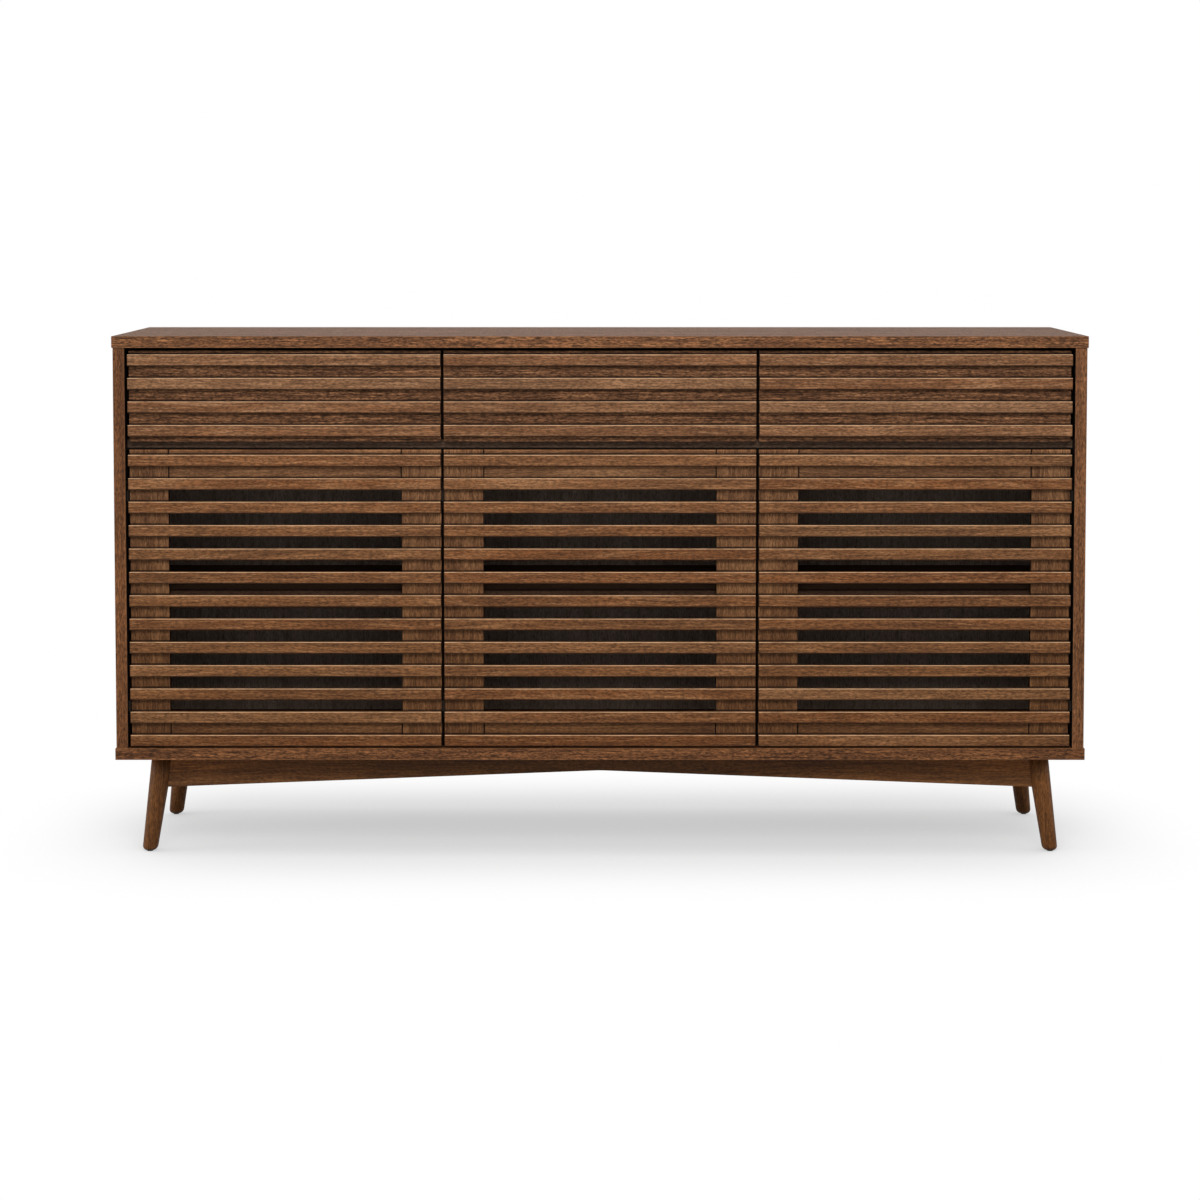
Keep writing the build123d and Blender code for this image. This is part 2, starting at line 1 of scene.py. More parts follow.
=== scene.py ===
import math
import bpy
import bmesh
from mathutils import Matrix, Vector


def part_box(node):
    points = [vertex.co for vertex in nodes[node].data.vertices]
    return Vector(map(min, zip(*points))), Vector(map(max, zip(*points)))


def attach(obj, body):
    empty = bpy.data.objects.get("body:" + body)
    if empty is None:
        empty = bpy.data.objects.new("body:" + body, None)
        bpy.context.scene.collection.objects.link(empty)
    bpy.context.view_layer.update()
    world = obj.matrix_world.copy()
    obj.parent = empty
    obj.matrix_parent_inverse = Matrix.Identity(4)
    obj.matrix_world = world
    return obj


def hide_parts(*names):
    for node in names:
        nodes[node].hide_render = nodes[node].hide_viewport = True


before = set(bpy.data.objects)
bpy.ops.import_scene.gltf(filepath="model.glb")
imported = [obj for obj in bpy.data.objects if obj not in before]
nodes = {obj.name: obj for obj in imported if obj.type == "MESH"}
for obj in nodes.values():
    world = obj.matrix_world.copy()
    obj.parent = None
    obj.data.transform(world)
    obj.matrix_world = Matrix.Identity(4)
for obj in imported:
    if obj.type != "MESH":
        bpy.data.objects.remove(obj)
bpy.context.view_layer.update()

columns = ("left", "centre", "right")
print("stage: frame loaded,", len(nodes), "nodes")


def srgb(red, green, blue):  # 0-255 screen colour to linear
    out = []
    for part in (red, green, blue):
        c = part / 255
        out.append(c / 12.92 if c <= 0.04045 else ((c + 0.055) / 1.055) ** 2.4)
    return (*out, 1)


def middleOf(node):
    low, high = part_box(node)
    return (low + high) / 2


def addPiece(name, data):
    piece = bpy.data.objects.new(name, data)
    bpy.context.scene.collection.objects.link(piece)
    return piece


# small helpers for node trees
def feed(tree, socket, value):  # an output is linked, a plain value is set
    if isinstance(value, bpy.types.NodeSocket):
        tree.links.new(value, socket)
    else:
        socket.default_value = value


def addNode(tree, kind, inputs=None, **settings):
    node = tree.nodes.new(kind)
    for key, value in settings.items():
        setattr(node, key, value)
    for key, value in (inputs or {}).items():
        feed(tree, node.inputs[key], value)
    return node


def mathNode(tree, operation, *values):
    return addNode(tree, "ShaderNodeMath", dict(enumerate(values)), operation=operation).outputs[0]


def vectorNode(tree, operation, *values):
    return addNode(tree, "ShaderNodeVectorMath", dict(enumerate(values)), operation=operation).outputs[0]


def scaled(tree, vector, factor):
    return addNode(tree, "ShaderNodeVectorMath", {0: vector, "Scale": factor}, operation="SCALE").outputs[0]


def mixColor(tree, factor, first, second, blend="MIX"):
    sockets = {0: factor, 6: first, 7: second}
    return addNode(tree, "ShaderNodeMix", sockets, data_type="RGBA", blend_type=blend).outputs[2]


def rangeNode(tree, value, fromLow, fromHigh, toLow=0.0, toHigh=1.0):
    limits = {"Value": value, "From Min": fromLow, "From Max": fromHigh, "To Min": toLow, "To Max": toHigh}
    return addNode(tree, "ShaderNodeMapRange", limits, interpolation_type="SMOOTHSTEP").outputs[0]


def stretchedNoise(tree, vector, scale, detail=3.0, roughness=0.55, offset=(0, 0, 0), output="Fac"):
    stretch = addNode(tree, "ShaderNodeMapping", {"Vector": vector, "Scale": scale, "Location": offset})
    look = {"Vector": stretch.outputs[0], "Scale": 1.0, "Detail": detail, "Roughness": roughness}
    return addNode(tree, "ShaderNodeTexNoise", look, noise_dimensions="3D").outputs[output]


def relief(tree, height, strength, deep):
    inputs = {"Height": height, "Strength": strength, "Distance": deep}
    return addNode(tree, "ShaderNodeBump", inputs).outputs[0]


def mixShaders(tree, factor, first, second):
    return addNode(tree, "ShaderNodeMixShader", {0: factor, 1: first, 2: second}).outputs[0]


def seenRays(tree):  # 1 for what the camera, a gloss or glass looks at
    path = addNode(tree, "ShaderNodeLightPath").outputs
    mirrored = mathNode(tree, "MAXIMUM", path["Is Glossy Ray"], path["Is Transmission Ray"])
    return mathNode(tree, "MAXIMUM", path["Is Camera Ray"], mirrored)


def emptyTree(owner):
    owner.use_nodes = True
    owner.node_tree.nodes.clear()
    return owner.node_tree


def endTree(tree, shader, kind="Material"):
    addNode(tree, "ShaderNodeOutput" + kind, {"Surface": shader})


def newGroup(name, inputs, outputs, kind="Shader"):  # sockets by name, each with its type
    group = bpy.data.node_groups.new(name, kind + "NodeTree")
    for way, sockets in (("INPUT", inputs), ("OUTPUT", outputs)):
        for socket, form in sockets.items():
            group.interface.new_socket(socket, in_out=way, socket_type="NodeSocket" + form)
    return group, addNode(group, "NodeGroupInput").outputs, addNode(group, "NodeGroupOutput").inputs


# walnut figure shared by every timber piece: grain runs along local X, scales count features a metre
grainNoise = {
    "drift": dict(scale=(2.6, 11.0, 11.0), detail=2.0, roughness=0.5, output="Color"),
    "bands": dict(scale=(1.8, 90.0, 90.0), detail=2.0),
    "streaks": dict(scale=(9.0, 380.0, 380.0), detail=4.0, roughness=0.7, offset=(3.1, 0.7, 1.9)),
    "fibre": dict(scale=(150.0, 520.0, 520.0), detail=2.0, roughness=0.65, offset=(5.5, 8.4, 0.6)),
    "dashes": dict(scale=(150.0, 640.0, 640.0), detail=1.0, offset=(7.7, 2.3, 5.2)),
    "flecks": dict(scale=(56.0, 560.0, 560.0), detail=2.0, roughness=0.6, offset=(2.2, 6.1, 3.3)),
    "blotch": dict(scale=(4.0, 26.0, 26.0), detail=2.0, offset=(1.3, 9.1, 4.4)),
}
grainLevel = {  # where a mark starts in its noise and where it is full
    "bands": (0.42, 0.66), "darkBlotch": (0.44, 0.7), "paleBlotch": (0.46, 0.3),
    "paleStreak": (0.5, 0.64), "darkStreak": (0.5, 0.36), "fibre": (0.3, 0.7, -0.5, 0.5),
    "dashes": (0.5, 0.7), "flecks": (0.53, 0.68),
}
poreColor = (0.014, 0.007, 0.004, 1)
deepTone, paleTone = (0.72, 0.66, 0.56, 1), (1.28, 1.36, 1.5, 1)  # tone 0 is darker and redder, 1 greyer
streakRaise = 0.3  # pale streaks stand this much above the flat, pores go down by 1
figureColors = ("Light", "Mid", "Dark")
figureAmounts = ("Tone", "Drift", "Bands", "Streaks", "Fine", "Pores", "Flecks", "Blotches")


def buildWalnutFigure():
    colors, amounts = dict.fromkeys(figureColors, "Color"), dict.fromkeys(figureAmounts, "Float")
    group, inn, out = newGroup("walnutFigure", {"Vector": "Vector", **colors, **amounts},
                               {"Color": "Color", "Pore Mask": "Float", "Height": "Float"})

    def noiseOf(name, vector):
        return stretchedNoise(group, vector, **grainNoise[name])

    def level(noise, mark):
        return rangeNode(group, noise, *grainLevel[mark])

    def weighed(mask, amount):
        return mathNode(group, "MULTIPLY", mask, inn[amount])

    # slow drift of the grain lines, only across the grain
    centred = vectorNode(group, "SUBTRACT", noiseOf("drift", inn["Vector"]), (0.5, 0.5, 0.5))
    sway = scaled(group, centred, inn["Drift"])
    warped = vectorNode(group, "MULTIPLY_ADD", sway, (0.0, 1.0, 1.0), inn["Vector"])

    streaks = noiseOf("streaks", warped)
    blotch = noiseOf("blotch", inn["Vector"])
    paleStreak = level(streaks, "paleStreak")
    color = inn["Mid"]
    for mask, amount, tint in (
        (level(noiseOf("bands", warped), "bands"), "Bands", "Dark"),
        (level(blotch, "darkBlotch"), "Blotches", "Dark"),
        (level(blotch, "paleBlotch"), "Blotches", "Light"),
        (paleStreak, "Streaks", "Light"),
        (level(streaks, "darkStreak"), "Streaks", "Dark"),
    ):
        color = mixColor(group, weighed(mask, amount), color, inn[tint])
    fibre = weighed(level(noiseOf("fibre", warped), "fibre"), "Fine")
    color = scaled(group, color, mathNode(group, "ADD", fibre, 1.0))
    pores = weighed(level(noiseOf("dashes", warped), "dashes"), "Pores")
    flecks = weighed(level(noiseOf("flecks", warped), "flecks"), "Flecks")
    dim = mathNode(group, "MAXIMUM", pores, flecks)
    color = mixColor(group, dim, color, poreColor)
    shade = mixColor(group, inn["Tone"], deepTone, paleTone)
    feed(group, out["Color"], mixColor(group, 1.0, color, shade, blend="MULTIPLY"))
    feed(group, out["Pore Mask"], dim)
    raised = mathNode(group, "MULTIPLY", paleStreak, streakRaise)
    feed(group, out["Height"], mathNode(group, "SUBTRACT", raised, dim))
    return group


# worn edges of a square board, and on the slats a painted highlight: 1 along the arrises, 0 on the flats, in
# patches
wearHighlightSet = dict(full=0.2, patches=dict(scale=(38.0, 38.0, 38.0), roughness=0.6), patchLevel=(0.3, 0.6, 0.45, 1.0))


def buildWearAndHighlightEdge():
    inputs = {"Vector": "Vector", "Centre": "Vector", "Half Size": "Vector", "Reach": "Float"}
    group, inn, out = newGroup("wearAndHighlightEdge", inputs, {"Mask": "Float"})
    away = vectorNode(group, "ABSOLUTE", vectorNode(group, "SUBTRACT", inn["Vector"], inn["Centre"]))
    inset = vectorNode(group, "SUBTRACT", inn["Half Size"], away)
    x, y, z = addNode(group, "ShaderNodeSeparateXYZ", {0: inset}).outputs
    least, most = mathNode(group, "MINIMUM", x, y), mathNode(group, "MAXIMUM", x, y)
    middle = mathNode(group, "MAXIMUM", least, mathNode(group, "MINIMUM", most, z))  # second nearest face
    edge = rangeNode(group, mathNode(group, "DIVIDE", middle, inn["Reach"]), 1.0, wearHighlightSet["full"])
    patchy = stretchedNoise(group, inn["Vector"], **wearHighlightSet["patches"])
    patchLevel = rangeNode(group, patchy, *wearHighlightSet["patchLevel"])
    feed(group, out["Mask"], mathNode(group, "MULTIPLY", edge, patchLevel))
    return group


# painted shade: a dark line in the corners where a ladder of slats is glued on, broad above a slat, thin
# below the next
cornerShadeSet = dict(reach=0.0027, thinBelow=2.5, full=0.7, start=0.001, end=0.0003, strength=0.9,
               patches=dict(scale=(60.0, 60.0, 60.0), detail=2.0), patchLevel=(0.3, 0.6, 0.75, 1.0),
               color=(0.012, 0.006, 0.003, 1))


def buildCornerShade():
    inputs = {"Vector": "Vector", "First": "Float", "Pitch": "Float", "Height": "Float", "Reach": "Float"}
    group, inn, out = newGroup("cornerShade", inputs, {"Mask": "Float"})
    z = addNode(group, "ShaderNodeSeparateXYZ", {0: inn["Vector"]}).outputs["Z"]
    step = mathNode(group, "FLOORED_MODULO", mathNode(group, "SUBTRACT", z, inn["First"]), inn["Pitch"])
    toTop = mathNode(group, "ABSOLUTE", mathNode(group, "SUBTRACT", step, inn["Height"]))
    below = mathNode(group, "SUBTRACT", inn["Pitch"], step)
    toNext = mathNode(group, "MULTIPLY", below, cornerShadeSet["thinBelow"])
    near = mathNode(group, "DIVIDE", mathNode(group, "MINIMUM", toTop, toNext), inn["Reach"])
    line = rangeNode(group, near, 1.0, cornerShadeSet["full"])
    patchy = stretchedNoise(group, inn["Vector"], **cornerShadeSet["patches"])
    patchLevel = rangeNode(group, patchy, *cornerShadeSet["patchLevel"])
    feed(group, out["Mask"], mathNode(group, "MULTIPLY", line, patchLevel))
    return group


walnutFigure = buildWalnutFigure()
wearAndHighlightEdge = buildWearAndHighlightEdge()
cornerShade = buildCornerShade()

# places read from the frame
frameFront, frameRear = (corner.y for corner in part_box("left_door_stiles"))
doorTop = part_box("left_door_stiles")[1].z
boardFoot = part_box("left_drawer_front")[0].z
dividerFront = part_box("left_divider")[0].y

# painted sheen and light: the drawer boards take paler, greyer tones than the door boards, and each row up a
# slightly paler one
slatSet = {
    "drawer": dict(count=4, toneLow=0.46, toneHigh=0.64, rise=0.01, seed=11),
    "door": dict(count=13, toneLow=0.0, toneHigh=0.24, rise=0.031, seed=23),
    "height": 0.018, "edge": 0.0011, "edgeSteps": 3, "trim": 0.0004, "highlightPast": 1.2,
    "cutSpread": (40.0, 9.0, 9.0), "columnSeed": 7, "tintSeed": 100,
}


def slatLadderOf(kind):  # first slat's underside, pitch and slat height
    low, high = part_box(f"left_{kind}_slats")
    tall = slatSet["height"]
    return low.z, (high.z - low.z - tall) / (slatSet[kind]["count"] - 1), tall


grainTurn = {"x": (0, 0, 0), "y": (0, 0, -math.pi / 2), "z": (0, math.pi / 2, 0)}
plainFinish = dict(
    tone=0.5, drift=0.03, bands=0.6, streaks=0.5, fine=0.6, pores=0.5, flecks=0.0, blotches=0.3,
    rough=0.5, gloss=0.2, perBoard=None)
poreRough = 0.25  # pores are this much rougher
woodRelief = dict(strength=0.2, deep=0.0006)
creaseShadeTint = (0.3, 0.29, 0.28, 1)
creaseShadeLevel = (0.8, 0.35)  # open share where the dark starts and where it is full


def walnut(name, grain, finish, shift, wearAndHighlightBox=None, ladder=None, fade=None, shading=(), creaseShade=None):
    look = {**plainFinish, **finish}
    material = bpy.data.materials.new(name)
    tree = emptyTree(material)
    place = addNode(tree, "ShaderNodeTexCoord").outputs["Object"]
    turn = {"Vector": place, "Rotation": grainTurn[grain], "Location": shift}
    vector = addNode(tree, "ShaderNodeMapping", turn).outputs[0]
    values = {word: look[word.lower()] for word in figureColors + figureAmounts}
    figure = addNode(tree, "ShaderNodeGroup", values, node_tree=walnutFigure)
    if look["perBoard"]:  # every board is its own cut of timber, some redder
        board = {part: addNode(tree, "ShaderNodeAttribute", attribute_name="board" + part).outputs
                 for part in ("Shift", "Tone", "Tint", "Place")}
        vector = vectorNode(tree, "ADD", vector, board["Shift"]["Vector"])
        feed(tree, figure.inputs["Tone"], board["Tone"]["Fac"])
        feed(tree, figure.inputs["Mid"], mixColor(tree, board["Tint"]["Fac"], look["mid"], look["perBoard"]))
        place = board["Place"]["Vector"]
    feed(tree, figure.inputs["Vector"], vector)
    axes = addNode(tree, "ShaderNodeSeparateXYZ", {0: place}).outputs
    color = figure.outputs["Color"]
    if wearAndHighlightBox:  # middle and half size of the box whose arrises get wear, and on the slats a painted highlight
        values = {"Vector": place, "Centre": wearAndHighlightBox[0], "Half Size": wearAndHighlightBox[1], "Reach": look["reach"]}
        edges = addNode(tree, "ShaderNodeGroup", values, node_tree=wearAndHighlightEdge)
        amount = mathNode(tree, "MULTIPLY", edges.outputs["Mask"], look["wearAndHighlightAmount"])
        color = mixColor(tree, amount, color, look["wearAndHighlight"])
    if ladder:  # painted shade beside the slats
        first, pitch, height = slatLadderOf(ladder)
        values = {"Vector": place, "First": first, "Pitch": pitch, "Height": height}
        cornerDark = addNode(tree, "ShaderNodeGroup", {**values, "Reach": cornerShadeSet["reach"]}, node_tree=cornerShade)
        start, end = frameFront + cornerShadeSet["start"], frameFront + cornerShadeSet["end"]
        frontShare = rangeNode(tree, axes["Y"], start, end, 0.0, cornerShadeSet["strength"])
        amount = mathNode(tree, "MULTIPLY", cornerDark.outputs["Mask"], frontShare)
        color = mixColor(tree, amount, color, cornerShadeSet["color"])
    if fade:  # painted shade: two heights and the tone at each
        feed(tree, figure.inputs["Tone"], rangeNode(tree, axes["Z"], *fade))
    for shadeColor, limits in shading:  # painted shade, dark joints and painted highlights on the faces between limits along the axes
        mask = 1.0
        for axis, start, end in limits:
            mask = mathNode(tree, "MULTIPLY", rangeNode(tree, axes[axis], start, end), mask)
        color = mixColor(tree, mask, color, shadeColor, blend="MULTIPLY")
    if creaseShade:  # painted shade in the corners, from ambient occlusion
        cover = addNode(tree, "ShaderNodeAmbientOcclusion", {"Distance": creaseShade}, samples=8)
        amount = rangeNode(tree, cover.outputs["AO"], *creaseShadeLevel)
        color = mixColor(tree, amount, color, creaseShadeTint, blend="MULTIPLY")
    low, high = look["rough"], look["rough"] + poreRough
    values = {"Value": figure.outputs["Pore Mask"], "To Min": low, "To Max": high}
    pored = addNode(tree, "ShaderNodeMapRange", values)
    shader = addNode(tree, "ShaderNodeBsdfPrincipled", {
        "Base Color": color, "Roughness": pored.outputs[0], "Specular IOR Level": look["gloss"],
        "Normal": relief(tree, figure.outputs["Height"], **woodRelief),
    })
    endTree(tree, shader.outputs[0])
    return material


slatFinish = dict(
    light=srgb(163, 121, 86), mid=srgb(127, 90, 60), dark=srgb(78, 50, 30), perBoard=srgb(121, 77, 45),
    # painted highlight: this pale colour lights the slats' upper arris
    wearAndHighlight=srgb(238, 194, 152), wearAndHighlightAmount=1.0, reach=0.0013,
    bands=0.3, fine=0.9, pores=0.3, flecks=0.1, blotches=0.35, gloss=0.12)
doorSlatFinish = {
    **slatFinish, "light": srgb(164, 119, 81), "mid": srgb(128, 88, 55), "perBoard": srgb(122, 75, 40)}
panelFinish = dict(
    light=srgb(158, 106, 66), mid=srgb(118, 76, 46), dark=srgb(66, 38, 20),
    wearAndHighlight=srgb(152, 106, 70), wearAndHighlightAmount=0.3, reach=0.0016, drift=0.008,
    bands=0.3, streaks=0.6, fine=1.2, flecks=0.85, gloss=0.12, rough=0.52)
uprightFinish = {**panelFinish, "streaks": 0.36, "fine": 0.9, "flecks": 0.4}  # the sides are calmer
frameFinish = dict(
    light=srgb(154, 112, 76), mid=srgb(119, 82, 53), dark=srgb(72, 45, 28),
    bands=0.45, streaks=0.4, fine=0.7, pores=0.35, flecks=0.12, blotches=0.5, gloss=0.1, rough=0.6)
boardFinish = dict(
    light=srgb(166, 120, 86), mid=srgb(113, 78, 54), dark=srgb(72, 45, 28), tone=0.14, drift=0.012,
    bands=0.3, streaks=0.75, fine=1.25, pores=0.4, flecks=0.75, blotches=0.25, gloss=0.1, rough=0.6)
baseFinish = dict(
    light=srgb(118, 76, 41), mid=srgb(93, 58, 30), dark=srgb(58, 34, 17),
    bands=0.5, pores=0.4, flecks=0.1, blotches=0.4, gloss=0.12)
apronFinish = {
    **baseFinish, "light": srgb(132, 86, 47), "mid": srgb(105, 66, 34), "dark": srgb(66, 39, 20)}
legFinish = {
    **baseFinish, "light": srgb(125, 79, 39), "mid": srgb(100, 61, 28), "dark": srgb(63, 36, 15)}
insideFinish = dict(
    light=srgb(180, 160, 146), mid=srgb(160, 140, 126), dark=srgb(120, 102, 90),
    bands=0.5, pores=0.35, gloss=0.08, rough=0.65)
sheetFinish = {**insideFinish, "bands": 0.3, "streaks": 0.3, "fine": 0.35}
drawerFinish = {
    **insideFinish, "light": srgb(188, 160, 128), "mid": srgb(168, 139, 107), "dark": srgb(130, 103, 77)}
# dividers and shelves in a darker walnut, painted shade for the inside seen through the gaps
shadeFinish = dict(
    light=srgb(98, 72, 54), mid=srgb(80, 58, 44), dark=srgb(52, 36, 27),
    bands=0.4, streaks=0.4, pores=0.3, blotches=0.2, gloss=0.05, rough=0.7)
crossFinish = {
    **shadeFinish, "light": srgb(122, 98, 80), "mid": srgb(106, 84, 68), "dark": srgb(76, 58, 46)}
beechFinish = dict(
    light=srgb(214, 182, 140), mid=srgb(196, 160, 118), dark=srgb(168, 130, 92),
    bands=0.4, pores=0.15, blotches=0.2, rough=0.6)

# painted shade, dark joints and painted highlights multiply the timber's own colour
insideShade = (0.3, 0.42, 0.7, 1)
gapShade = (0.12, 0.13, 0.15, 1)
jointAndGapShade = (0.045, 0.05, 0.055, 1)
slatEndShade = (0.2, 0.19, 0.18, 1)
slatFootShade = (0.27, 0.25, 0.23, 1)
apronMiddleShade = (0.62, 0.64, 0.68, 1)
topArrisHighlight = (1.6, 1.52, 1.45, 1)
apronEndLight = (1.75, 1.7, 1.6, 1)

# how far from its face each painted shade and highlight starts, and how far from it it is full
shadeAndHighlightReach = dict(
    slatEnd=(0.0014, 0.0006), slatFoot=(0.0022, 0.0013),
    frameFront=(0.0004, 0.0012), frameRear=(0.0003, 0.0008),
    doorTop=(0.0026, 0.0018), railFoot=(0.0028, 0.0016), boardFoot=(0.0017, 0.0009),
    dividerFront=(0.0008, 0.0003), panelFront=(0.002, 0.0),
    topInside=(0.0004, 0.0001), sideInside=(0.0003, 0.0001))


def limit(axis, face, kind, way=1):  # way is the side of the face that the painted mark lies on
    start, full = shadeAndHighlightReach[kind]
    return axis, face + way * start, face + way * full


def shadedEdges(edgeDark):  # painted shade between the front and rear faces of a frame or board
    return edgeDark, [limit("Y", frameFront, "frameFront"), limit("Y", frameRear, "frameRear", -1)]


slatLow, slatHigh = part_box("left_door_slats")
slatHalf = (slatHigh - slatLow) / 2
slatHalf.z = slatSet["height"] / 2
# the box goes on past the slat's ends and foot, so only the upper arris gets the painted highlight
highlightHalf = Vector((slatHalf.x * slatSet["highlightPast"], slatHalf.y, slatHalf.z * 2))
slatHighlightBox = (Vector((0, 0, -slatHalf.z)), highlightHalf)
# painted shade on the slats' end faces and along their lower arris
slatShading = [(slatEndShade, [limit("X", end * slatHalf.x, "slatEnd", -end)]) for end in (-1, 1)]
slatShading.append((slatFootShade, [limit("Z", -slatHalf.z, "slatFoot")]))  # dark lower arris
slatWood = {
    "drawer": walnut("drawerSlatWood", "x", slatFinish, (0, 0, 0), wearAndHighlightBox=slatHighlightBox, shading=slatShading),
    "door": walnut("doorSlatWood", "x", doorSlatFinish, (0, 0, 0), wearAndHighlightBox=slatHighlightBox, shading=slatShading),
}

# painted shade on the drawer boards' edges and along their foot
boardShading = [shadedEdges(gapShade), (gapShade, [limit("Z", boardFoot, "boardFoot")])]
boardAlong = walnut("drawerBoardWood", "x", boardFinish, (5.1, 0.3, 0.6), ladder="drawer", shading=boardShading)
# painted shade: the door frames get darker towards the bottom
doorShadeFade = (0.25, 0.66, 0.05, 0.52)
# painted highlight along the doors' top arris
topHighlight = (topArrisHighlight, [limit("Z", doorTop, "doorTop", -1)])
stileUpright = walnut("stileWood", "z", frameFinish, (1.7, 0.5, 0.3), ladder="door", fade=doorShadeFade,
                      shading=[shadedEdges(gapShade), topHighlight])
# the rails' edges are darker still, for the joints and as painted shade
railAlong = walnut("railWood", "x", frameFinish, (8.2, 0.9, 0.1), ladder="door", fade=doorShadeFade,
                   shading=[shadedEdges(jointAndGapShade), topHighlight])

# aprons, painted shade and light: darker at the top and in the middle, lighter low down towards the ends,
# darker in the creases
apronSet = dict(fade=(0.1, 0.138, 0.95, 0.13), creaseShade=0.006,
                middle=(0.55, 0.05), ends=(0.5, 0.66), rise=(0.108, 0.132))


def bothSides(start, end):
    return [("X", side * start, side * end) for side in (-1, 1)]


apronShading = [(apronMiddleShade, bothSides(*apronSet["middle"]))]
apronShading += [(apronEndLight, [reach, ("Z", *apronSet["rise"])]) for reach in bothSides(*apronSet["ends"])]
baseAlong = walnut("apronWood", "x", apronFinish, (3.3, 0.2, 0.8), fade=apronSet["fade"],
                   shading=apronShading, creaseShade=apronSet["creaseShade"])
baseAcross = walnut("endRailWood", "y", baseFinish, (6.5, 0.4, 0.5))
# painted shade in the creases beside the aprons
legWood = walnut("legWood", "z", legFinish, (4.9, 0.6, 0.7), creaseShade=0.008)
# painted shade: the back sheet gets darker towards the bottom
backSheet = walnut("backSheetWood", "z", sheetFinish, (9.4, 0.8, 0.4), fade=(0.17, 0.36, 0.32, 0.43))
drawerAlong = walnut("drawerBackWood", "x", drawerFinish, (7.1, 0.1, 0.2))
drawerDeep = walnut("drawerSideWood", "y", drawerFinish, (2.8, 0.3, 0.9))
# painted shade on the divider's front edge, behind the gap between the doors
shadeUpright = walnut("dividerWood", "z", shadeFinish, (5.8, 0.1, 0.3),
                      shading=[(gapShade, [limit("Y", dividerFront, "dividerFront")])])
shadeAlong = walnut("shelfWood", "x", shadeFinish, (3.9, 0.6, 0.4))
# painted shade: a dark line along the drawer rail's foot, just above the doors
crossRail = walnut("drawerRailWood", "x", crossFinish, (6.1, 0.2, 0.7),
                   shading=[(jointAndGapShade, [limit("Z", doorTop, "railFoot")])])
beech = walnut("beechWood", "x", beechFinish, (0, 0, 0))


def panelWood(node, grain, shift, tone, inner=None):  # one veneer sheet a panel, rubbed along its own edges
    low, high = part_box(node)
    shading = []
    if inner:  # painted shade: the face towards the inside is darker, and darker still beside the fronts
        shading = [(insideShade, [inner]), (gapShade, [inner, limit("Y", dividerFront, "panelFront")])]
    finish = uprightFinish if grain == "z" else panelFinish
    return walnut(node + "_wood", grain, {**finish, "tone": tone}, shift,
                  wearAndHighlightBox=((low + high) / 2, (high - low) / 2), shading=shading)


print("stage: timber finishes made")

# brushed and painted metal, moulded nylon
scratchSet = dict(lines=dict(scale=(2400.0, 40.0, 2400.0), detail=2.0), cloud=dict(scale=(60.0, 60.0, 60.0)),
                  lineShare=0.6, low=0.3, high=0.7, tint=(0.8, 1.15), deep=0.0002)


def buildFineScratch():
    inputs = {"Vector": "Vector", "Color": "Color", "Low Rough": "Float", "High Rough": "Float"}
    outputs = {"Color": "Color", "Roughness": "Float", "Height": "Float"}
    group, inn, out = newGroup("fineScratch", inputs, outputs)
    lines = stretchedNoise(group, inn["Vector"], **scratchSet["lines"])
    cloud = stretchedNoise(group, inn["Vector"], **scratchSet["cloud"])
    share, low, high = scratchSet["lineShare"], scratchSet["low"], scratchSet["high"]
    blend = mathNode(group, "ADD", mathNode(group, "MULTIPLY", lines, share),
                     mathNode(group, "MULTIPLY", cloud, 1.0 - share))
    level = addNode(group, "ShaderNodeMapRange", {
        "Value": blend, "From Min": low, "From Max": high,
        "To Min": inn["Low Rough"], "To Max": inn["High Rough"],
    })
    clouded = rangeNode(group, cloud, low, high, *scratchSet["tint"])
    feed(group, out["Color"], scaled(group, inn["Color"], clouded))
    feed(group, out["Roughness"], level.outputs[0])
    feed(group, out["Height"], blend)
    return group


fineScratch = buildFineScratch()


def hardware(name, color, metallic, lowRough, highRough, bump=0.05, gloss=0.5):
    material = bpy.data.materials.new(name)
    tree = emptyTree(material)
    coords = addNode(tree, "ShaderNodeTexCoord").outputs["Object"]
    values = {"Vector": coords, "Color": color, "Low Rough": lowRough, "High Rough": highRough}
    marks = addNode(tree, "ShaderNodeGroup", values, node_tree=fineScratch).outputs
    shader = addNode(tree, "ShaderNodeBsdfPrincipled", {
        "Base Color": marks["Color"], "Metallic": metallic, "Roughness": marks["Roughness"],
        "Specular IOR Level": gloss, "Normal": relief(tree, marks["Height"], bump, scratchSet["deep"]),
    })
    endTree(tree, shader.outputs[0])
    return material


zincSteel = hardware("zincSteel", (0.55, 0.55, 0.53, 1), 1.0, 0.22, 0.42)
blackSteel = hardware("blackSteel", (0.011, 0.008, 0.006, 1), 0.0, 0.5, 0.66, gloss=0.06)
blackNylon = hardware("blackNylon", (0.022, 0.022, 0.022, 1), 0.0, 0.45, 0.62, bump=0.02, gloss=0.2)

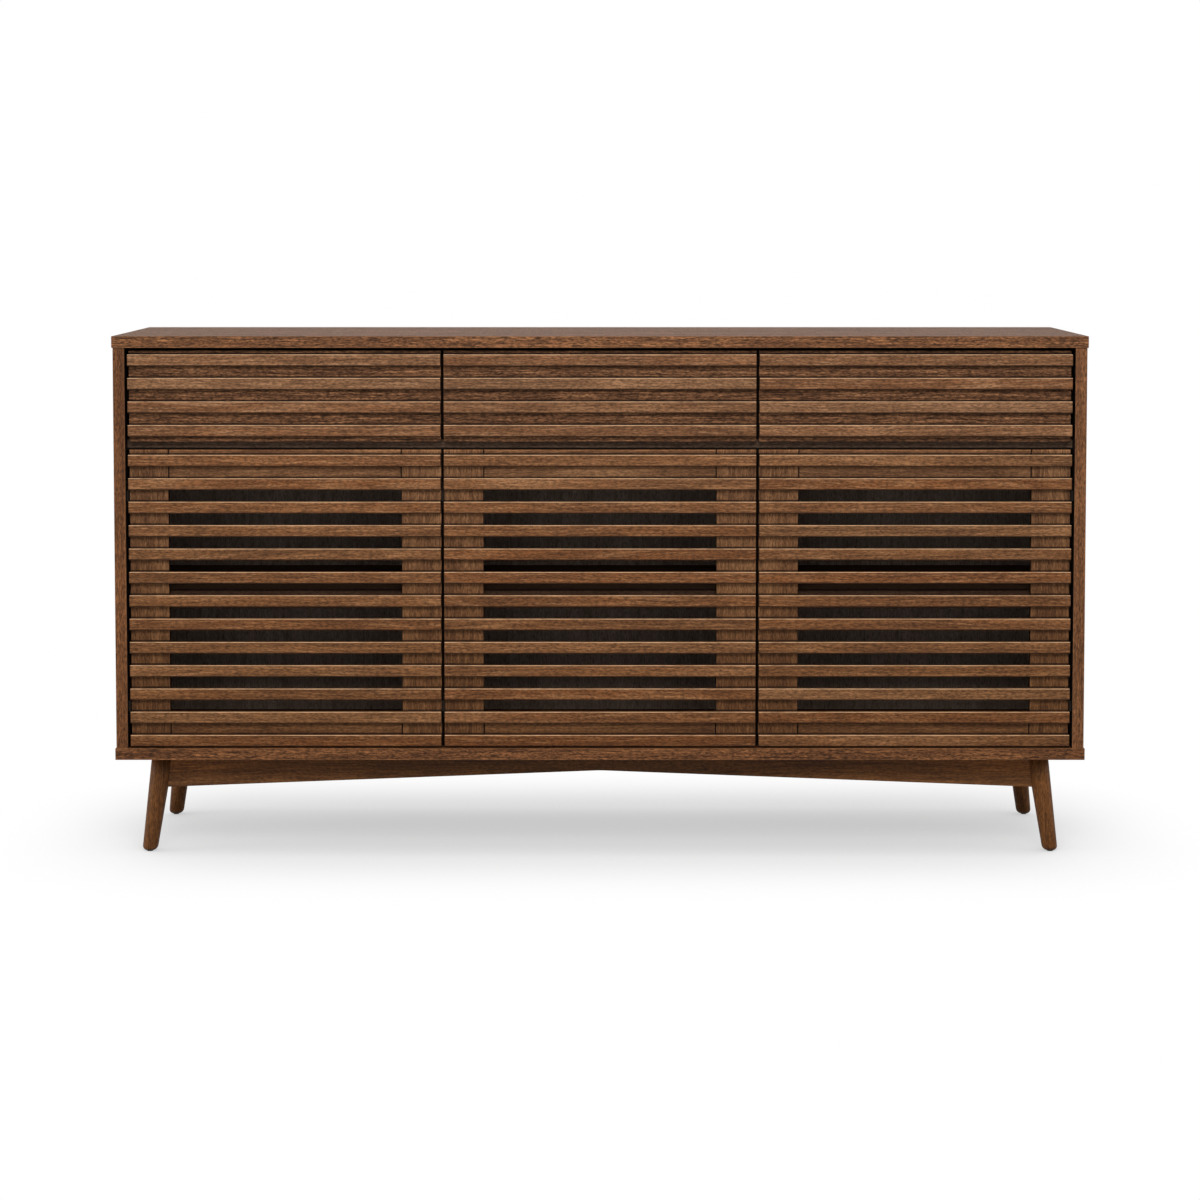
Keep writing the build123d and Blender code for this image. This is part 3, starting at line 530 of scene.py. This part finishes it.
topInside = limit("Z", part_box("top_panel")[0].z, "topInside")
leftInside = limit("X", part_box("left_side_panel")[1].x, "sideInside", -1)
rightInside = limit("X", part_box("right_side_panel")[0].x, "sideInside")
nodeFinish = {
    "top_panel": panelWood("top_panel", "x", (0.4, 0.1, 0.9), 0.68, topInside),
    "bottom_panel": panelWood("bottom_panel", "x", (6.3, 0.5, 0.2), 0.28),
    "left_side_panel": panelWood("left_side_panel", "z", (2.3, 0.7, 0.2), 0.2, leftInside),
    "right_side_panel": panelWood("right_side_panel", "z", (4.7, 0.2, 0.6), 0.53, rightInside),
    "left_divider": shadeUpright, "right_divider": shadeUpright,
    "drawer_rail": crossRail, "back_panel": backSheet,
    "left_shelf": shadeAlong, "centre_shelf": shadeAlong, "right_shelf": shadeAlong,
    "shelf_pins": zincSteel, "dowels": beech, "front_apron": baseAlong, "rear_apron": baseAlong,
    "end_rails": baseAcross, "foot_glides": blackNylon,
    "corner_blocks": beech, "base_screws": zincSteel, "cabinet_runners": blackSteel,
    "hinge_carcass_leaves": blackSteel, "hinge_pins": blackSteel, "magnetic_catches": blackNylon,
}
columnFinish = {
    "drawer_front": boardAlong, "drawer_sides": drawerDeep, "drawer_back": drawerAlong,
    "drawer_bottom": drawerDeep, "drawer_runners": blackSteel,
    "door_stiles": stileUpright, "door_rails": railAlong,
    "door_hinge_leaves": blackSteel, "door_strike_plate": zincSteel,
}
for column in columns:
    nodeFinish.update({f"{column}_{part}": material for part, material in columnFinish.items()})
for name, material in nodeFinish.items():
    nodes[name].data.materials.clear()
    nodes[name].data.materials.append(material)
print("stage: CAD nodes finished,", len(nodeFinish))


# legs: turned rounds that splay outwards and end in a rounded foot
legShape = dict(
    footX=0.705, footY=0.15, splayX=0.02, splayY=0.0146, tall=0.152, start=0.0012,
    topRadius=0.017, footRadius=0.01175, footRound=0.0075,
    roundSteps=8, upperRings=(0.3, 0.55, 0.8, 1.0), around=48)


def turnLeg(name, side, end):
    shape = legShape
    around = shape["around"]
    turns = [2 * math.pi * index / around for index in range(around)]
    rings = []  # height of each ring and how far the rounding draws it in
    for step in range(shape["roundSteps"] + 1):
        angle = math.pi / 2 * step / shape["roundSteps"]
        height = shape["start"] + shape["footRound"] * (1 - math.cos(angle))
        rings.append((height, shape["footRound"] * (1 - math.sin(angle))))
    rings += [(shape["tall"] * part, 0.0) for part in shape["upperRings"]]
    lathe = bmesh.new()
    loops = []
    for height, inset in rings:
        part = height / shape["tall"]
        radius = shape["footRadius"] + (shape["topRadius"] - shape["footRadius"]) * part - inset
        x = side * (shape["footX"] - shape["splayX"] * part)
        y = end * (shape["footY"] - shape["splayY"] * part)
        circle = [(x + radius * math.cos(turn), y + radius * math.sin(turn), height) for turn in turns]
        loops.append([lathe.verts.new(point) for point in circle])
    for lower, upper in zip(loops, loops[1:]):
        for index in range(around):
            after = (index + 1) % around
            lathe.faces.new((lower[index], lower[after], upper[after], upper[index])).smooth = True
    lathe.faces.new(list(reversed(loops[0])))
    lathe.faces.new(loops[-1])
    mesh = bpy.data.meshes.new(name)
    lathe.to_mesh(mesh)
    lathe.free()
    mesh.materials.append(legWood)
    return addPiece(name, mesh)


for row, end in (("front", -1), ("rear", 1)):
    for hand, side in (("left", -1), ("right", 1)):
        piece = turnLeg(f"{row}_{hand}_turned_leg", side, end)
        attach(piece, "carcass")
        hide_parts(f"{row}_{hand}_leg")
print("stage: legs turned")


def endGrowth(tree, geometry, material, out):  # one plain mesh with its material
    whole = addNode(tree, "GeometryNodeRealizeInstances", {0: geometry}).outputs[0]
    painted = addNode(tree, "GeometryNodeSetMaterial", {"Geometry": whole, "Material": material})
    feed(tree, out[0], painted.outputs[0])


# slats: one tree lays a ladder of boards, each with its own cut and tone
def buildSlatLadder():
    tree, inn, out = newGroup("slatLadder", {
        "Count": "Int", "First": "Vector", "Step": "Vector", "Size": "Vector", "Seed": "Int",
        "Tone Low": "Float", "Tone High": "Float", "Rise": "Float", "Wood": "Material",
    }, {"Slats": "Geometry"}, "Geometry")

    def store(geometry, name, value, form="FLOAT", domain="INSTANCE"):
        inputs = {"Geometry": geometry, "Name": name, "Value": value}
        kept = addNode(tree, "GeometryNodeStoreNamedAttribute", inputs, data_type=form, domain=domain)
        return kept.outputs[0]

    def randomValue(inputs, form):
        return addNode(tree, "FunctionNodeRandomValue", inputs, data_type=form).outputs

    line = addNode(tree, "GeometryNodeMeshLine", {
        "Count": inn["Count"], "Start Location": inn["First"], "Offset": inn["Step"],
    }, mode="OFFSET", count_mode="TOTAL").outputs[0]
    board = addNode(tree, "GeometryNodeMeshCube", {"Size": inn["Size"]}).outputs["Mesh"]
    corner = addNode(tree, "GeometryNodeInputPosition").outputs[0]  # measured from the board's own middle
    board = store(board, "boardPlace", corner, "FLOAT_VECTOR", "POINT")
    ladder = addNode(tree, "GeometryNodeInstanceOnPoints", {"Points": line, "Instance": board}).outputs[0]
    tone = randomValue({2: inn["Tone Low"], 3: inn["Tone High"], "Seed": inn["Seed"]}, "FLOAT")[1]
    seeds = {0: inn["Seed"], 1: slatSet["tintSeed"]}
    nextSeed = addNode(tree, "FunctionNodeIntegerMath", seeds, operation="ADD").outputs[0]
    tint = randomValue({"Seed": nextSeed}, "FLOAT")[1]
    cut = randomValue({1: slatSet["cutSpread"], "Seed": inn["Seed"]}, "FLOAT_VECTOR")[0]
    row = addNode(tree, "GeometryNodeInputIndex").outputs[0]
    climb = mathNode(tree, "MULTIPLY_ADD", row, inn["Rise"], tone)  # painted light: upper boards a little paler
    ladder = store(ladder, "boardTone", climb)
    ladder = store(ladder, "boardTint", tint)
    ladder = store(ladder, "boardShift", cut, "FLOAT_VECTOR")
    endGrowth(tree, ladder, inn["Wood"], out)
    return tree


def growMesh(name, tree, values, spots=()):  # run a tree once and keep the plain mesh
    seedMesh = bpy.data.meshes.new(name + "Carrier")
    if spots:  # points to grow on, each with the way it faces
        seedMesh.from_pydata([spot for spot, facing in spots], [], [])
        ways = seedMesh.attributes.new("facing", "FLOAT_VECTOR", "POINT")
        for index, (spot, facing) in enumerate(spots):
            ways.data[index].vector = facing
    carrier = addPiece(name + "Carrier", seedMesh)
    modifier = carrier.modifiers.new("grow", "NODES")
    modifier.node_group = tree
    sockets = {item.name: item.identifier for item in tree.interface.items_tree if item.in_out == "INPUT"}
    for key, value in values.items():
        modifier[sockets[key]] = value
    graph = bpy.context.evaluated_depsgraph_get()
    mesh = bpy.data.meshes.new_from_object(carrier.evaluated_get(graph), depsgraph=graph)
    mesh.name = name
    carrier.modifiers.remove(modifier)
    bpy.data.objects.remove(carrier)
    return addPiece(name, mesh)


slatLadder = buildSlatLadder()
for place, column in enumerate(columns):
    for kind in ("drawer", "door"):
        node = f"{column}_{kind}_slats"
        boards = slatSet[kind]
        low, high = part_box(node)
        first, step, tall = slatLadderOf(kind)
        low.x += slatSet["trim"] if column != "left" else 0.0  # beside a neighbour
        high.x -= slatSet["trim"] if column != "right" else 0.0
        middle = (low + high) / 2
        piece = growMesh(f"{column}_{kind}_slat_boards", slatLadder, {
            "Count": boards["count"],
            "First": (middle.x, middle.y, first + tall / 2),
            "Step": (0.0, 0.0, step),
            "Size": (high.x - low.x, high.y - low.y, tall),
            "Seed": boards["seed"] + slatSet["columnSeed"] * place,
            "Tone Low": boards["toneLow"],
            "Tone High": boards["toneHigh"],
            "Rise": boards["rise"],
            "Wood": slatWood[kind],
        })
        soften = piece.modifiers.new("softEdges", "BEVEL")
        soften.width = slatSet["edge"]
        soften.segments = slatSet["edgeSteps"]
        soften.limit_method = "ANGLE"
        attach(piece, f"{column}_{kind}")
        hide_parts(node)
print("stage: slats laid")

# screws: low round heads with a sunk socket, set square on the points they are given
screwShape = dict(sides=18, crown=0.72, socket=0.55, sink=-0.7, turn=(0.0, 0.0, 3.1))
screwSet = {
    "back": dict(radius=0.0034, height=0.0016, seed=3, edge=0.0036, along=0.16, alongEnd=0.03,
                 upright=0.15, uprightEnd=0.05),
    "hinge": dict(radius=0.0026, height=0.0004, seed=5, spread=0.014, leafEnd=0.02,
                  leafThick=0.001, setBack=0.012),
    "strike": dict(radius=0.0022, height=0.0003, seed=7, spread=0.0085),
    "catch": dict(radius=0.0026, height=0.0009, seed=9, spread=0.013),
}


def buildScrewHeads():
    tree, inn, out = newGroup("screwHeads", {
        "Points": "Geometry", "Head Radius": "Float", "Head Height": "Float",
        "Seed": "Int", "Metal": "Material",
    }, {"Screws": "Geometry"}, "Geometry")

    def extruded(mesh, faces, lift):
        inputs = {"Mesh": mesh, "Selection": faces, "Offset Scale": lift}
        return addNode(tree, "GeometryNodeExtrudeMesh", inputs, mode="FACES").outputs

    crown = mathNode(tree, "MULTIPLY", inn["Head Radius"], screwShape["crown"])
    sink = mathNode(tree, "MULTIPLY", inn["Head Height"], screwShape["sink"])
    head = addNode(tree, "GeometryNodeMeshCone", {
        "Vertices": screwShape["sides"], "Radius Top": crown, "Radius Bottom": inn["Head Radius"],
        "Depth": inn["Head Height"],
    }).outputs
    rim = extruded(head["Mesh"], head["Top"], 0.0)
    shrink = addNode(tree, "GeometryNodeScaleElements", {
        "Geometry": rim["Mesh"], "Selection": rim["Top"], "Scale": screwShape["socket"],
    })
    sunk = extruded(shrink.outputs[0], rim["Top"], sink)
    facing = addNode(tree, "GeometryNodeInputNamedAttribute", {"Name": "facing"}, data_type="FLOAT_VECTOR")
    aim = addNode(tree, "FunctionNodeAlignRotationToVector", {"Vector": facing.outputs[0]}, axis="Z")
    placed = addNode(tree, "GeometryNodeInstanceOnPoints", {
        "Points": inn["Points"], "Instance": sunk["Mesh"], "Rotation": aim.outputs[0],
    })
    angle = addNode(tree, "FunctionNodeRandomValue", {
        0: (0.0, 0.0, 0.0), 1: screwShape["turn"], "Seed": inn["Seed"],
    }, data_type="FLOAT_VECTOR")
    spin = addNode(tree, "GeometryNodeRotateInstances", {
        "Instances": placed.outputs[0], "Rotation": angle.outputs[0],
    })
    endGrowth(tree, spin.outputs[0], inn["Metal"], out)
    return tree


screwHeads = buildScrewHeads()


def setScrews(name, kind, metal, body, spots):
    size = screwSet[kind]
    piece = growMesh(name, screwHeads, {
        "Head Radius": size["radius"], "Head Height": size["height"], "Seed": size["seed"], "Metal": metal,
    }, spots)
    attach(piece, body)


def spread(low, high, gap):  # even places from low to high, about a gap apart
    count = max(1, round((high - low) / gap))
    return [low + (high - low) * step / count for step in range(count + 1)]


# round the back panel's edges and up the dividers
low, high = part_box("back_panel")
back = screwSet["back"]
alongs = spread(low.x + back["alongEnd"], high.x - back["alongEnd"], back["along"])
heights = spread(low.z + back["uprightEnd"], high.z - back["uprightEnd"], back["upright"])
uprights = [low.x + back["edge"], high.x - back["edge"]]
uprights += [middleOf(divider).x for divider in ("left_divider", "right_divider")]
backPlaces = [(x, z) for z in (low.z + back["edge"], high.z - back["edge"]) for x in alongs]
backPlaces += [(x, z) for x in uprights for z in heights]
backSpots = [((x, high.y, z), (0, 1, 0)) for x, z in backPlaces]
setScrews("back_panel_screws", "back", zincSteel, "carcass", backSpots)

# two to each hinge leaf, strike plate and catch
hinge = screwSet["hinge"]
plateY = (frameFront + frameRear) / 2
wallFaces = {
    "left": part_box("left_side_panel")[1].x,
    "centre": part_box("left_divider")[1].x,
    "right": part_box("right_side_panel")[0].x,
}
carcassSpots = []
catchSpots = []
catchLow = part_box("magnetic_catches")[0].z
catchY = middleOf("magnetic_catches").y
for column in columns:
    low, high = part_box(f"{column}_door_hinge_leaves")
    way = 1 if column == "right" else -1  # hinge side of the door
    leaves = (low.z + hinge["leafEnd"], high.z - hinge["leafEnd"])
    heights = [z + up for z in leaves for up in (-hinge["spread"], hinge["spread"])]
    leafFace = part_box(f"{column}_door_stiles")[1 if way > 0 else 0].x + way * hinge["leafThick"]
    spots = [((leafFace, plateY, z), (way, 0, 0)) for z in heights]
    setScrews(f"{column}_hinge_screws", "hinge", blackSteel, f"{column}_door", spots)
    wall = wallFaces[column] - way * hinge["leafThick"]
    wallY = dividerFront + hinge["setBack"] if column == "centre" else plateY
    carcassSpots += [((wall, wallY, z), (-way, 0, 0)) for z in heights]
    strike = f"{column}_door_strike_plate"
    middle = middleOf(strike)
    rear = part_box(strike)[1].y
    apart = screwSet["strike"]["spread"]
    spots = [((middle.x + side, rear, middle.z), (0, 1, 0)) for side in (-apart, apart)]
    setScrews(f"{column}_strike_screws", "strike", zincSteel, f"{column}_door", spots)
    apart = screwSet["catch"]["spread"]
    catchSpots += [((middle.x + side, catchY, catchLow), (0, 0, -1)) for side in (-apart, apart)]
setScrews("carcass_hinge_screws", "hinge", blackSteel, "carcass", carcassSpots)
setScrews("catch_screws", "catch", zincSteel, "carcass", catchSpots)
print("stage: screws set,", len(backSpots), "in the back")

# pale studio floor that keeps the soft shadow, plain white past it
floorSet = dict(half=30, shadow=(0.58, 0.14, 0.0), fade=(0.1, 0.42), paint=(0.6, 0.6, 0.6, 1),
                shadowPaint=(0.22, 0.22, 0.22, 1), coverReach=0.5, openSky=(0.15, 0.95, 0.54, 0.8))


def buildFloor():
    mesh = bpy.data.meshes.new("studioFloor")
    grid = bmesh.new()
    bmesh.ops.create_grid(grid, x_segments=1, y_segments=1, size=floorSet["half"])
    grid.to_mesh(mesh)
    grid.free()
    floor = addPiece("studioFloor", mesh)
    material = bpy.data.materials.new("studioFloorPaint")
    tree = emptyTree(material)
    coords = addNode(tree, "ShaderNodeTexCoord").outputs["Object"]
    past = vectorNode(tree, "SUBTRACT", vectorNode(tree, "ABSOLUTE", coords), floorSet["shadow"])
    outside = vectorNode(tree, "MAXIMUM", past, (0.0, 0.0, 0.0))
    length = addNode(tree, "ShaderNodeVectorMath", {0: outside}, operation="LENGTH").outputs["Value"]
    far = rangeNode(tree, length, *floorSet["fade"])
    cover = addNode(tree, "ShaderNodeAmbientOcclusion", {"Distance": floorSet["coverReach"]}, samples=16)
    openSky = rangeNode(tree, cover.outputs["AO"], *floorSet["openSky"])  # soft contact shadow
    glow = addNode(tree, "ShaderNodeEmission", {"Strength": openSky}).outputs[0]
    shadowed = addNode(tree, "ShaderNodeBsdfDiffuse", {"Color": floorSet["shadowPaint"]}).outputs[0]
    near = addNode(tree, "ShaderNodeAddShader", {0: shadowed, 1: glow}).outputs[0]
    white = addNode(tree, "ShaderNodeEmission", {"Strength": 1.0}).outputs[0]
    matte = addNode(tree, "ShaderNodeBsdfDiffuse", {"Color": floorSet["paint"]}).outputs[0]
    pale = mixShaders(tree, far, near, white)
    endTree(tree, mixShaders(tree, seenRays(tree), matte, pale))
    mesh.materials.append(material)


buildFloor()

# studio: even pale surround, a broad lamp overhead, one high in front, a low fill,
# one behind that stays below the top's height, and one at each side
surround = dict(seen=1.0, light=0.2)
lamps = {
    "overhead": dict(place=(0.0, -0.2, 3.2), aim=(0.0, 0.0, 0.4), width=4.5, depth=1.6, power=8.4),
    "front": dict(place=(0.0, -3.5, 2.65), aim=(0.0, 0.0, 0.5), width=2.6, depth=1.4, power=110.0),
    "fill": dict(place=(0.0, -4.6, 0.75), aim=(0.0, 0.0, 0.4), width=3.5, depth=0.8, power=16.0),
    "back": dict(place=(0.0, 3.6, 0.44), aim=(0.0, 0.0, 0.44), width=2.4, depth=0.6, power=14.0),
    "left": dict(place=(-3.2, -0.5, 0.8), aim=(0.0, 0.0, 0.2), width=1.2, depth=1.2, power=32.0),
    "right": dict(place=(3.2, -0.5, 0.8), aim=(0.0, 0.0, 0.2), width=1.2, depth=1.2, power=14.0),
}
world = bpy.data.worlds.new("studioWorld")
bpy.context.scene.world = world
tree = emptyTree(world)
sky = {}
for part, strength in surround.items():
    inputs = {"Color": (1, 1, 1, 1), "Strength": strength}
    sky[part] = addNode(tree, "ShaderNodeBackground", inputs).outputs[0]
endTree(tree, mixShaders(tree, seenRays(tree), sky["light"], sky["seen"]), "World")


def softLamp(name, place, aim, width, depth, power):
    lamp = bpy.data.lights.new(name, "AREA")
    lamp.shape = "RECTANGLE"
    lamp.size = width
    lamp.size_y = depth
    lamp.energy = power
    holder = addPiece(name, lamp)
    holder.location = place
    holder.rotation_euler = (Vector(aim) - Vector(place)).to_track_quat("-Z", "Y").to_euler()


for name, lamp in lamps.items():
    softLamp(name + "Lamp", **lamp)

# camera at the photograph's place
shot = dict(place=(0.0, -4.9213, 0.9868), tilt=3.727, sensor=36.0, lens=92.393, shift=-0.15, far=100)
camera = addPiece("camera", bpy.data.cameras.new("camera"))
camera.data.sensor_width = shot["sensor"]
camera.data.lens = shot["lens"]
camera.data.shift_y = shot["shift"]
camera.data.clip_end = shot["far"]
camera.location = shot["place"]
camera.rotation_euler = (math.radians(90 - shot["tilt"]), 0, 0)
bpy.context.scene.camera = camera
bpy.context.scene.view_settings.view_transform = "Standard"
print("stage: studio and camera set")
